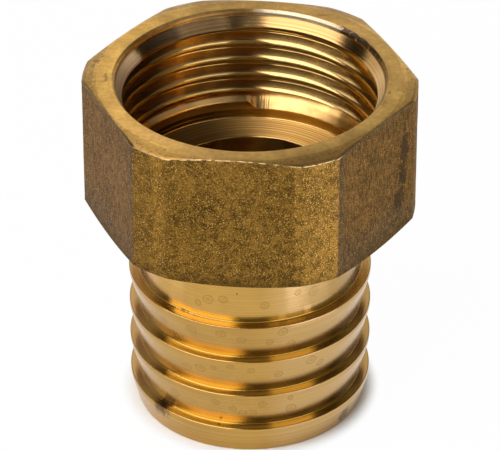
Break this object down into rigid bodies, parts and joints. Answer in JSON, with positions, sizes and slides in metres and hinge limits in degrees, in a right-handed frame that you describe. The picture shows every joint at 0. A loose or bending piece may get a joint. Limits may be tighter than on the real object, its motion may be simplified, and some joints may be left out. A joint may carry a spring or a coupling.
{
  "type": "female threaded pipe adapter",
  "caption": "Brass adapter: a hexagonal collar with an internal pipe thread joined to a barbed hose spigot, with one waterway through both.",
  "frame": {"origin": "centre of the spigot's end face, where the adapter stands", "axes": "+Z along the common axis, from the hose spigot to the threaded mouth; -Y is the outward normal of one flat of the hexagon"},
  "size_m": [0.0406, 0.0374, 0.045],
  "materials": {
    "brass": "turned brass, satin on the spigot, top face and thread; the hexagon as forged, matt and darker"
  },
  "bodies": {
    "root": {"adapter_body": "brass"}
  },
  "joints": []
}
